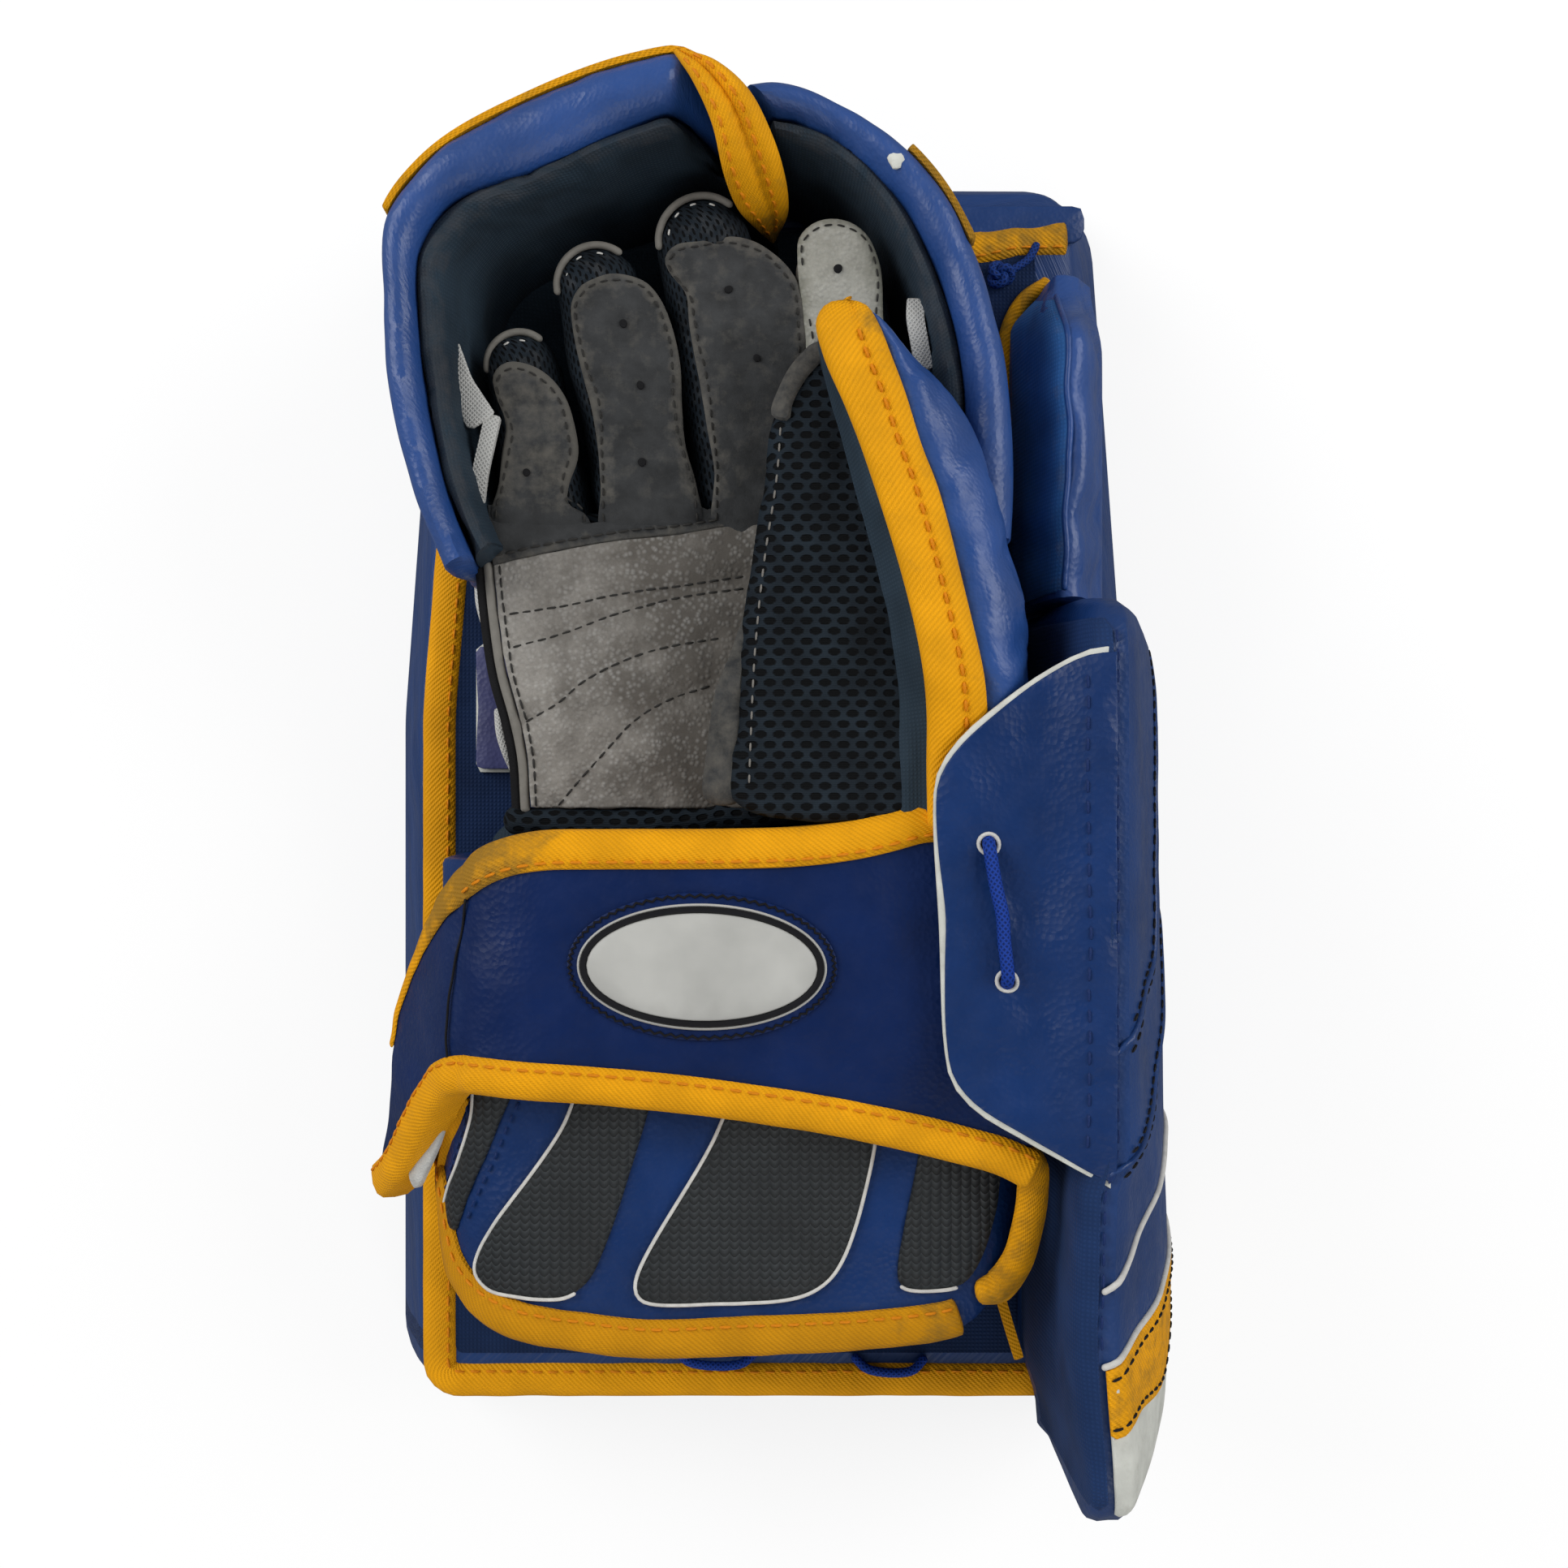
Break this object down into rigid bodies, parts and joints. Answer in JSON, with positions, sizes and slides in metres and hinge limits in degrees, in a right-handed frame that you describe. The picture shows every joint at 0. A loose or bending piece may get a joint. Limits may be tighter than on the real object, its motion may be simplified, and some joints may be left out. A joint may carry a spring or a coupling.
{
  "type": "goalkeeper blocker glove",
  "caption": "Ice hockey goalkeeper's blocker for the right hand: padded board with a side wall, finger guards, glove and wrist strap.",
  "frame": {"origin": "centre of the board's flat front face, which the blocker lies on", "axes": "+X towards the thumb side, +Y towards the fingertips, +Z from the front face up to the palm"},
  "size_m": [0.2056, 0.3342, 0.108],
  "materials": {
    "vinyl_blue": "grained vinyl, satin",
    "nylon_navy": "woven nylon, matt",
    "nylon_black": "woven nylon, matt",
    "binding_gold": "twill binding, matt",
    "mesh_black": "spacer mesh, matt",
    "suede_grey": "suede, matt",
    "grip_white": "grained leather, matt",
    "palm_leather": "worn pebbled leather, matt",
    "piping_grey": "piping, matt",
    "cuff_mesh": "open knitted mesh, satin",
    "foam": "closed-cell foam",
    "stiffener_plastic": "polyethylene sheet",
    "badge_white": "moulded soft plastic",
    "badge_black": "moulded soft plastic",
    "badge_backing": "stitched patch edge",
    "lace_blue": "braided cord",
    "lace_white": "woven elastic",
    "hook_tape": "hook-and-loop tape"
  },
  "bodies": {
    "board": {"board_back_panel": "nylon_navy", "board_binding": "binding_gold", "board_foam": "foam", "board_front_cover": "vinyl_blue", "board_lace_knot": "lace_blue", "board_stiffener": "stiffener_plastic", "cuff_binding": "binding_gold", "cuff_mesh_panels": "cuff_mesh", "elastic_tabs": "lace_white", "finger_floor_pad": "nylon_black", "finger_guard_binding": "binding_gold", "finger_guard_cover": "vinyl_blue", "finger_guard_foam": "foam", "finger_guard_lining": "nylon_black", "flap_lace": "lace_blue", "hand_back_mesh": "mesh_black", "index_guard_cover": "vinyl_blue", "index_guard_edge_binding": "binding_gold", "index_guard_foam": "foam", "index_guard_lining": "nylon_black", "knuckle_pad": "nylon_navy", "lace_flap": "vinyl_blue", "loop_tape": "hook_tape", "palm_edge_piping": "piping_grey", "palm_laces": "lace_white", "palm_leather": "palm_leather", "side_wall_core": "foam", "side_wall_cover": "vinyl_blue", "side_wall_lining": "nylon_navy", "strap_binding_root": "binding_gold", "strap_root": "vinyl_blue", "thumb_guard_binding_root": "binding_gold", "thumb_guard_lining_root": "nylon_black", "thumb_guard_pad_root": "vinyl_blue", "thumb_stall_root": "mesh_black", "upper_pad_binding": "binding_gold", "upper_pad_cover": "vinyl_blue", "upper_pad_foam": "foam", "upper_pad_lining": "nylon_navy", "wrist_cuff": "vinyl_blue", "wrist_pad": "nylon_navy"},
    "pinky": {"pinky_stall": "mesh_black", "pinky_grip_patch": "suede_grey"},
    "ring": {"ring_stall": "mesh_black", "ring_grip_patch": "suede_grey"},
    "middle": {"middle_stall": "mesh_black", "middle_grip_patch": "suede_grey"},
    "index": {"index_stall": "mesh_black", "index_grip_patch": "grip_white"},
    "thumb": {"thumb_stall": "mesh_black", "thumb_guard_pad": "vinyl_blue", "thumb_guard_lining": "nylon_black", "thumb_guard_binding": "binding_gold"},
    "strap": {"wrist_strap": "vinyl_blue", "wrist_strap_binding": "binding_gold", "hook_tape": "hook_tape", "badge_backing": "badge_backing", "badge_ring": "badge_black", "badge_plate": "badge_white"}
  },
  "joints": [
    {"name": "pinky_curl", "type": "hinge", "parent": "board", "child": "pinky", "pos_m": [-0.051, 0.062, 0.077], "axis": [0.9864, 0.1644, 0], "range_deg": [0, 60]},
    {"name": "ring_curl", "type": "hinge", "parent": "board", "child": "ring", "pos_m": [-0.0275, 0.064, 0.077], "axis": [0.9785, 0.2062, 0], "range_deg": [0, 60]},
    {"name": "middle_curl", "type": "hinge", "parent": "board", "child": "middle", "pos_m": [-0.0025, 0.065, 0.077], "axis": [0.9849, 0.1729, 0], "range_deg": [0, 50]},
    {"name": "index_curl", "type": "hinge", "parent": "board", "child": "index", "pos_m": [0.0245, 0.064, 0.077], "axis": [0.9947, 0.1029, 0], "range_deg": [0, 50]},
    {"name": "thumb_lift", "type": "hinge", "parent": "board", "child": "thumb", "pos_m": [0.036, 0.026, 0.1072], "axis": [1, 0, 0], "range_deg": [0, 40]},
    {"name": "strap_open", "type": "hinge", "parent": "board", "child": "strap", "pos_m": [0.036, -0.04, 0.0988], "axis": [0, 1, 0], "range_deg": [0, 90]}
  ],
  "couplings": [
    {"joint": "index_curl", "follows": "thumb_lift", "ratio": 1.25},
    {"joint": "middle_curl", "follows": "thumb_lift", "ratio": 1.25}
  ]
}
